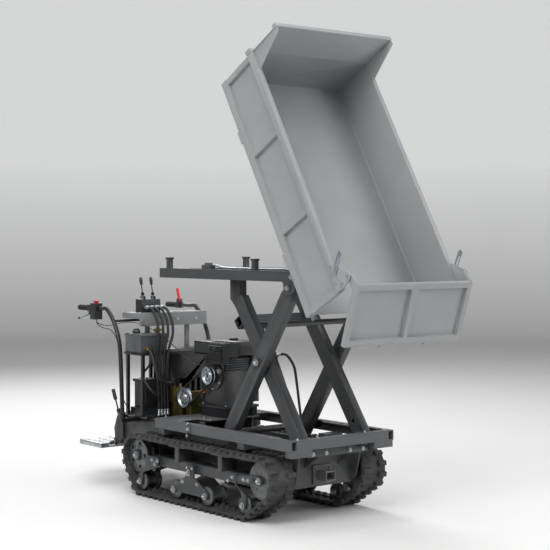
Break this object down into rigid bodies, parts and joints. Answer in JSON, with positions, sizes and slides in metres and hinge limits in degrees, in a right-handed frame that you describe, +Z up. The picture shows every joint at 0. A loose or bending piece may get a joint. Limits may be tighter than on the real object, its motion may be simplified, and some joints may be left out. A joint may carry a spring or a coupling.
{
  "type": "tracked power carrier",
  "caption": "Rubber-tracked walk-behind garden dumper with a scissor lift, a hydraulic tipping tub with a swinging gate, an engine with pump, and rear handlebars.",
  "frame": {"origin": "bottom centre of the bounding box, on the ground under the middle of the machine", "axes": "+X forward, the way the tub tips; +Y the machine's left; +Z up"},
  "size_m": [2.9296, 0.9106, 2.8143],
  "materials": {
    "deck_paint": "satin dark grey paint",
    "lift_paint": "satin anthracite paint",
    "tub_paint": "satin grey paint",
    "black_paint": "satin black paint",
    "track_rubber": "matt rubber",
    "cast_steel": "machined casting",
    "zinc": "zinc plated",
    "chrome_rod": "ground chrome",
    "cylinder_paint": "gloss black paint",
    "grip_rubber": "matt rubber",
    "console_paint": "satin grey paint",
    "black_plastic": "matt",
    "red_plastic": "gloss",
    "brass": "cast brass",
    "olive_metal": "cast pump body",
    "engine_black": "black engine casting",
    "belt_rubber": "matt rubber",
    "hose_rubber": "matt rubber",
    "tank_paint": "satin grey paint",
    "valve_metal": "painted casting"
  },
  "bodies": {
    "chassis": {"deck_frame": "deck_paint", "deck_floor": "deck_paint", "chassis_tray": "lift_paint", "tow_hitch": "deck_paint", "track_frame_right": "lift_paint", "track_frame_left": "lift_paint", "track_belt_right": "track_rubber", "track_belt_left": "track_rubber", "rear_body": "black_paint", "rear_cover": "black_plastic", "handlebar": "black_paint", "grip_right": "grip_rubber", "grip_left": "grip_rubber", "console": "console_paint", "control_valve": "valve_metal", "switch_box": "black_plastic", "hydraulic_tank": "tank_paint", "brass_valves": "brass", "battery_box": "black_plastic", "hydraulic_pump": "olive_metal", "engine_block": "engine_black", "engine_shroud": "black_paint", "muffler_guard": "black_paint", "air_cleaner": "black_plastic", "drive_belt": "belt_rubber", "hose_set": "hose_rubber"},
    "foot_step": {"foot_step": "zinc"},
    "lift_lever": {"lift_lever": "black_paint"},
    "tip_lever": {"tip_lever": "black_paint"},
    "clutch_lever": {"clutch_lever": "zinc"},
    "safety_lever": {"safety_lever": "red_plastic"},
    "gear_lever": {"gear_lever": "black_plastic"},
    "stop_button": {"stop_button": "red_plastic"},
    "engine_pulley": {"engine_pulley": "zinc"},
    "pump_pulley": {"pump_pulley": "zinc"},
    "outer_arms": {"outer_arms": "lift_paint"},
    "inner_arms": {"inner_arms": "lift_paint"},
    "lift_barrel": {"lift_barrel": "cylinder_paint"},
    "lift_rod": {"lift_rod": "chrome_rod"},
    "tip_barrel": {"tip_barrel": "cylinder_paint"},
    "tip_rod": {"tip_rod": "chrome_rod"},
    "gate": {"gate": "tub_paint"},
    "gate_latch_right": {"gate_latch_right": "zinc"},
    "gate_latch_left": {"gate_latch_left": "zinc"},
    "sprocket_right": {"sprocket_right": "cast_steel"},
    "sprocket_left": {"sprocket_left": "cast_steel"},
    "idler_right": {"idler_right": "cast_steel"},
    "idler_left": {"idler_left": "cast_steel"},
    "roller_right_1": {"roller_right_1": "cast_steel"},
    "roller_right_2": {"roller_right_2": "cast_steel"},
    "roller_right_3": {"roller_right_3": "cast_steel"},
    "roller_right_4": {"roller_right_4": "cast_steel"},
    "roller_left_1": {"roller_left_1": "cast_steel"},
    "roller_left_2": {"roller_left_2": "cast_steel"},
    "roller_left_3": {"roller_left_3": "cast_steel"},
    "roller_left_4": {"roller_left_4": "cast_steel"},
    "platform": {"platform_frame": "lift_paint"},
    "tub": {"tub_floor": "tub_paint", "tub_walls": "tub_paint", "tub_headboard": "tub_paint"}
  },
  "joints": [
    {"name": "sprocket_right_spin", "type": "hinge", "parent": "chassis", "child": "sprocket_right", "pos_m": [-0.62982, -0.35, 0.25], "axis": [0, 1, 0], "continuous": true},
    {"name": "idler_right_spin", "type": "hinge", "parent": "chassis", "child": "idler_right", "pos_m": [0.63418, -0.35, 0.25], "axis": [0, 1, 0], "continuous": true},
    {"name": "roller_right_1_spin", "type": "hinge", "parent": "chassis", "child": "roller_right_1", "pos_m": [-0.57982, -0.35, 0.09], "axis": [0, 1, 0], "continuous": true},
    {"name": "roller_right_2_spin", "type": "hinge", "parent": "chassis", "child": "roller_right_2", "pos_m": [-0.20482, -0.35, 0.09], "axis": [0, 1, 0], "continuous": true},
    {"name": "roller_right_3_spin", "type": "hinge", "parent": "chassis", "child": "roller_right_3", "pos_m": [0.11618, -0.35, 0.09], "axis": [0, 1, 0], "continuous": true},
    {"name": "roller_right_4_spin", "type": "hinge", "parent": "chassis", "child": "roller_right_4", "pos_m": [0.48318, -0.35, 0.09], "axis": [0, 1, 0], "continuous": true},
    {"name": "sprocket_left_spin", "type": "hinge", "parent": "chassis", "child": "sprocket_left", "pos_m": [-0.62982, 0.35, 0.25], "axis": [0, 1, 0], "continuous": true},
    {"name": "idler_left_spin", "type": "hinge", "parent": "chassis", "child": "idler_left", "pos_m": [0.63418, 0.35, 0.25], "axis": [0, 1, 0], "continuous": true},
    {"name": "roller_left_1_spin", "type": "hinge", "parent": "chassis", "child": "roller_left_1", "pos_m": [-0.57982, 0.35, 0.09], "axis": [0, 1, 0], "continuous": true},
    {"name": "roller_left_2_spin", "type": "hinge", "parent": "chassis", "child": "roller_left_2", "pos_m": [-0.20482, 0.35, 0.09], "axis": [0, 1, 0], "continuous": true},
    {"name": "roller_left_3_spin", "type": "hinge", "parent": "chassis", "child": "roller_left_3", "pos_m": [0.11618, 0.35, 0.09], "axis": [0, 1, 0], "continuous": true},
    {"name": "roller_left_4_spin", "type": "hinge", "parent": "chassis", "child": "roller_left_4", "pos_m": [0.48318, 0.35, 0.09], "axis": [0, 1, 0], "continuous": true},
    {"name": "engine_spin", "type": "hinge", "parent": "chassis", "child": "engine_pulley", "pos_m": [-0.29982, -0.092, 0.76], "axis": [0, 1, 0], "continuous": true},
    {"name": "pump_spin", "type": "hinge", "parent": "chassis", "child": "pump_pulley", "pos_m": [-0.55982, -0.092, 0.6], "axis": [0, 1, 0], "continuous": true},
    {"name": "step_fold", "type": "hinge", "parent": "chassis", "child": "foot_step", "pos_m": [-1.13982, 0, 0.258], "axis": [0, 1, 0], "range_deg": [0, 60]},
    {"name": "lift_lever_swing", "type": "hinge", "parent": "chassis", "child": "lift_lever", "pos_m": [-0.94482, -0.155, 1.236], "axis": [0, 1, 0], "range_deg": [-18, 18], "stiffness_Nm_per_rad": 3},
    {"name": "tip_lever_swing", "type": "hinge", "parent": "chassis", "child": "tip_lever", "pos_m": [-0.94482, -0.075, 1.236], "axis": [0, 1, 0], "range_deg": [-18, 18], "stiffness_Nm_per_rad": 3},
    {"name": "clutch_squeeze", "type": "hinge", "parent": "chassis", "child": "clutch_lever", "pos_m": [-1.25982, -0.36, 1.126], "axis": [0, 1, 0], "range_deg": [0, 12], "stiffness_Nm_per_rad": 1.5, "springref_deg": -17.19},
    {"name": "safety_squeeze", "type": "hinge", "parent": "chassis", "child": "safety_lever", "pos_m": [-1.25982, 0.36, 1.193], "axis": [0, 1, 0], "range_deg": [-30, 0], "stiffness_Nm_per_rad": 1, "springref_deg": 17.19},
    {"name": "gear_shift", "type": "hinge", "parent": "chassis", "child": "gear_lever", "pos_m": [-1.02482, -0.298, 0.486], "axis": [0, 1, 0], "range_deg": [-12, 12]},
    {"name": "stop_press", "type": "slide", "parent": "chassis", "child": "stop_button", "axis": [0, 0, 1], "range_m": [-0.005, 0], "stiffness_N_per_m": 400},
    {"name": "lift", "type": "hinge", "parent": "chassis", "child": "inner_arms", "pos_m": [0.78018, 0, 0.47], "axis": [0, 1, 0], "range_deg": [-32.5, 0]},
    {"name": "arm_cross", "type": "hinge", "parent": "inner_arms", "child": "outer_arms", "pos_m": [0.49041, 0, 0.90779], "axis": [0, 1, 0], "range_deg": [0, 65]},
    {"name": "platform_level", "type": "hinge", "parent": "outer_arms", "child": "platform", "pos_m": [0.78018, 0, 1.34558], "axis": [0, 1, 0], "range_deg": [-32.5, 0]},
    {"name": "lift_barrel_swing", "type": "hinge", "parent": "chassis", "child": "lift_barrel", "pos_m": [0.56018, -0.045, 0.38], "axis": [0, 1, 0], "range_deg": [-36.66, 0]},
    {"name": "lift_rod_swing", "type": "hinge", "parent": "inner_arms", "child": "lift_rod", "pos_m": [0.16565, -0.045, 1.09558], "axis": [0, 1, 0], "range_deg": [-4.16, 0]},
    {"name": "tip", "type": "hinge", "parent": "platform", "child": "tub", "pos_m": [0.83018, 0, 1.40958], "axis": [0, 1, 0], "range_deg": [-60, 0]},
    {"name": "tip_barrel_swing", "type": "hinge", "parent": "platform", "child": "tip_barrel", "pos_m": [0.71018, 0, 1.23958], "axis": [0, 1, 0], "range_deg": [-32.59, 0]},
    {"name": "tip_rod_swing", "type": "hinge", "parent": "tub", "child": "tip_rod", "pos_m": [0.76348, 0, 1.62511], "axis": [0, 1, 0], "range_deg": [0, 28.41]},
    {"name": "gate_swing", "type": "hinge", "parent": "tub", "child": "gate", "pos_m": [1.40166, 0, 1.42775], "axis": [0, 1, 0], "range_deg": [-50, 43]},
    {"name": "latch_right_swing", "type": "hinge", "parent": "tub", "child": "gate_latch_right", "pos_m": [1.29745, -0.452, 1.43225], "axis": [0, 1, 0], "range_deg": [-10, 35]},
    {"name": "latch_left_swing", "type": "hinge", "parent": "tub", "child": "gate_latch_left", "pos_m": [1.29745, 0.452, 1.43225], "axis": [0, 1, 0], "range_deg": [-10, 35]}
  ],
  "couplings": [
    {"joint": "idler_right_spin", "follows": "sprocket_right_spin", "ratio": 1},
    {"joint": "roller_right_1_spin", "follows": "sprocket_right_spin", "ratio": 1.7905},
    {"joint": "roller_right_2_spin", "follows": "sprocket_right_spin", "ratio": 1.7905},
    {"joint": "roller_right_3_spin", "follows": "sprocket_right_spin", "ratio": 1.7905},
    {"joint": "roller_right_4_spin", "follows": "sprocket_right_spin", "ratio": 1.7905},
    {"joint": "idler_left_spin", "follows": "sprocket_left_spin", "ratio": 1},
    {"joint": "roller_left_1_spin", "follows": "sprocket_left_spin", "ratio": 1.7905},
    {"joint": "roller_left_2_spin", "follows": "sprocket_left_spin", "ratio": 1.7905},
    {"joint": "roller_left_3_spin", "follows": "sprocket_left_spin", "ratio": 1.7905},
    {"joint": "roller_left_4_spin", "follows": "sprocket_left_spin", "ratio": 1.7905},
    {"joint": "pump_spin", "follows": "engine_spin", "ratio": 0.8333},
    {"joint": "arm_cross", "follows": "lift", "ratio": -2},
    {"joint": "platform_level", "follows": "lift", "ratio": 1},
    {"joint": "lift_barrel_swing", "follows": "lift", "ratio": 1.1125},
    {"joint": "lift_rod_swing", "follows": "lift", "ratio": 0.1125},
    {"joint": "tip_barrel_swing", "follows": "tip", "ratio": 0.5349},
    {"joint": "tip_rod_swing", "follows": "tip", "ratio": -0.4651}
  ]
}
